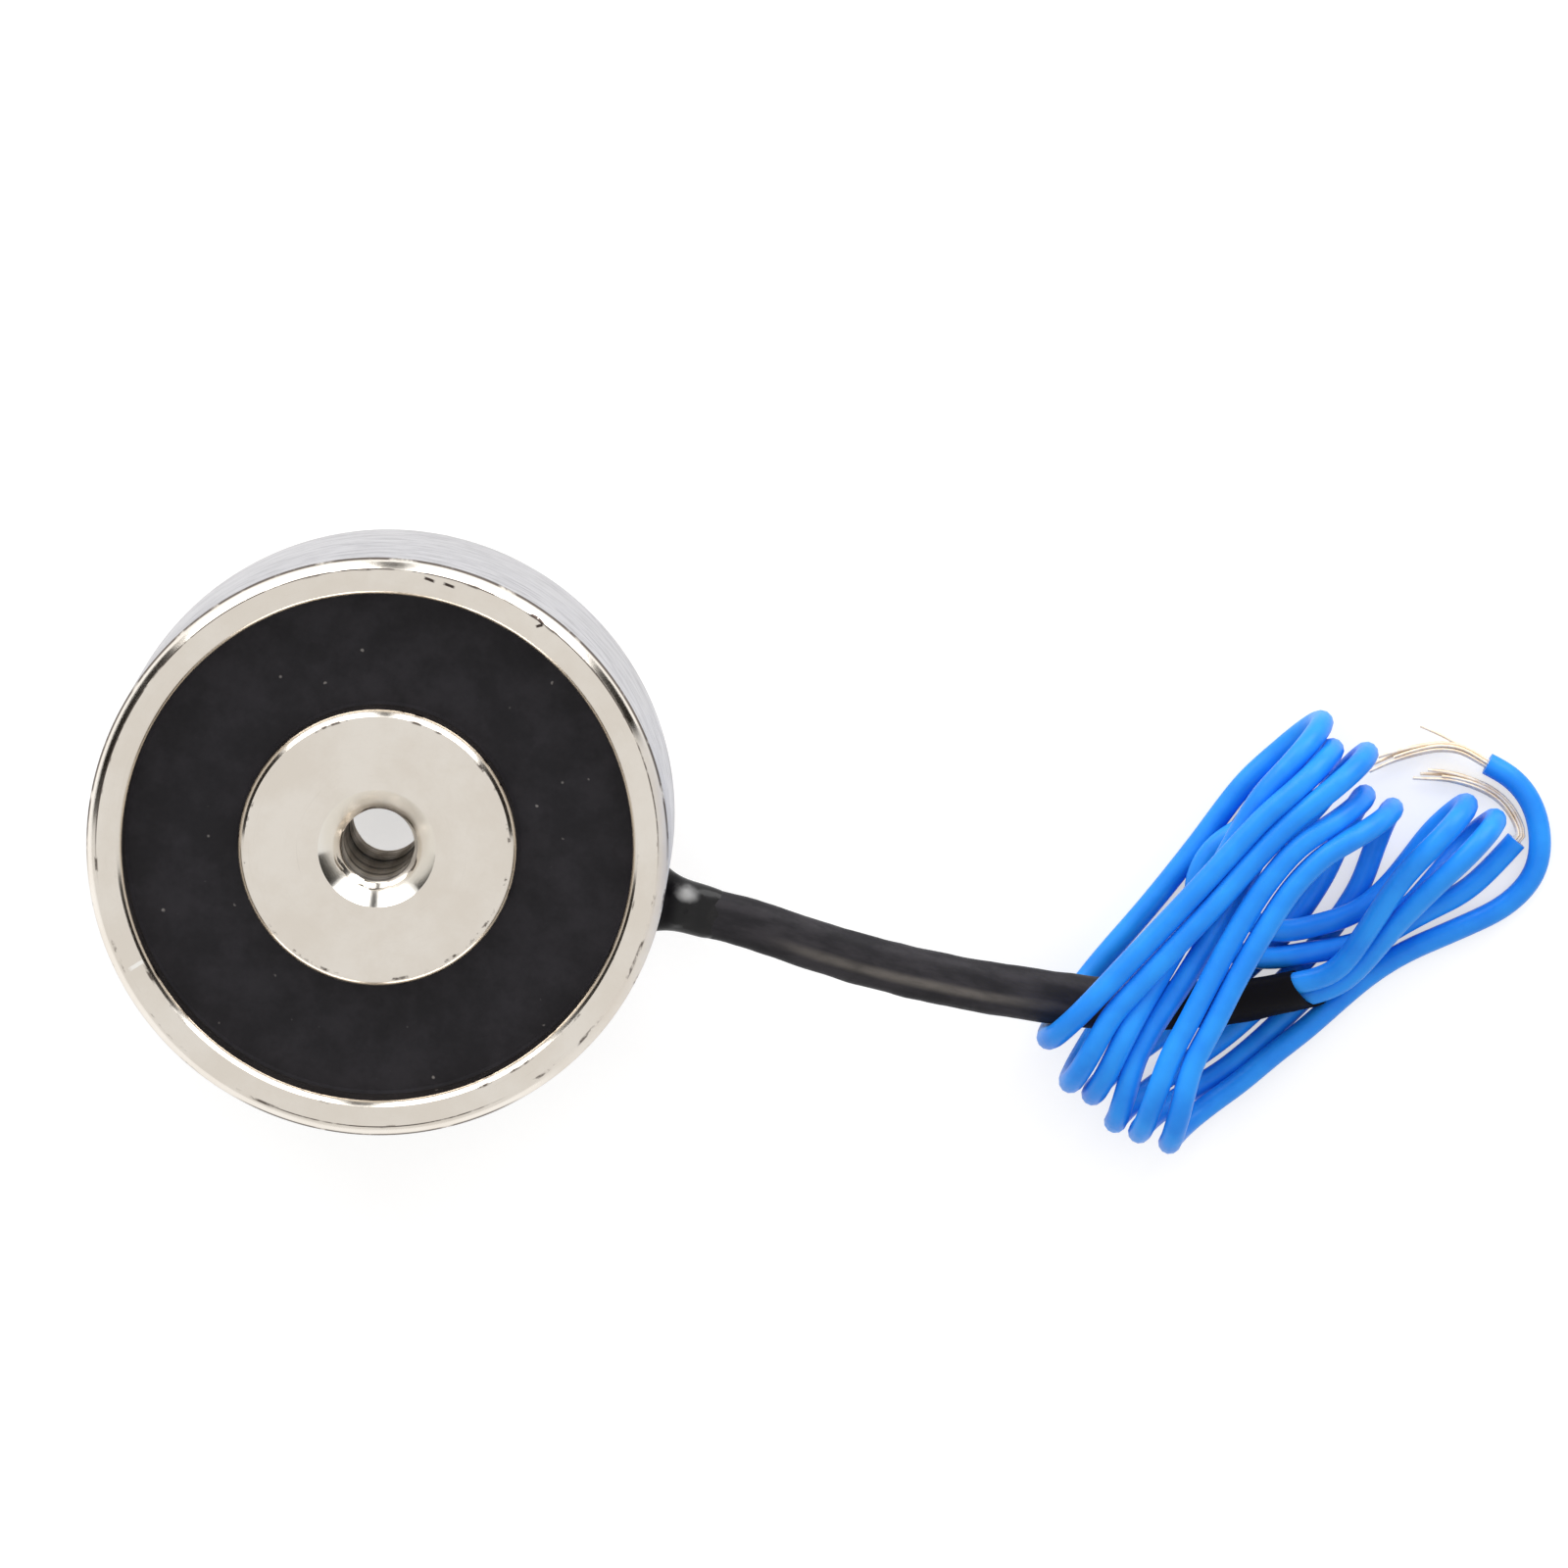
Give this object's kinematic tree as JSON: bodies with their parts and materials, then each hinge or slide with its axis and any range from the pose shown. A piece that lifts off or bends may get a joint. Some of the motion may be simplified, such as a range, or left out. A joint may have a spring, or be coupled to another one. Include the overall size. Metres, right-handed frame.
{
  "type": "holding electromagnet",
  "caption": "Round pot holding electromagnet with a potted coil, a threaded centre hole, and blue flying leads that leave the side in a black sleeve and are wound in a hank.",
  "frame": {"origin": "centre of the mounting face, where the centre hole comes out", "axes": "+Z along the centre hole, from the mounting face to the holding face; +X towards the side where the leads come out"},
  "size_m": [0.0995, 0.045, 0.02],
  "materials": {
    "plated_steel": "turned and nickel plated, satin",
    "nylon": "moulded, matt",
    "enamelled_copper": "enamelled wire",
    "tape": "film tape",
    "resin": "cast, satin, dusty",
    "heat_shrink": "satin black",
    "blue_insulation": "extruded, satin",
    "tinned_strands": "tinned copper"
  },
  "bodies": {
    "root": {"pot_housing": "plated_steel", "coil_bobbin": "nylon", "coil_winding": "enamelled_copper", "winding_tape": "tape", "inner_lead_a": "blue_insulation", "inner_lead_b": "blue_insulation", "splice_sleeve_a": "heat_shrink", "splice_sleeve_b": "heat_shrink", "potting_compound": "resin", "lead_exit_seal": "resin", "lead_sleeve": "heat_shrink", "feed_wire_a": "blue_insulation", "feed_wire_b": "blue_insulation", "lead_hank": "blue_insulation", "tail_wire_a": "blue_insulation", "tail_wire_b": "blue_insulation", "bare_end_a": "tinned_strands", "bare_end_b": "tinned_strands"}
  },
  "joints": []
}
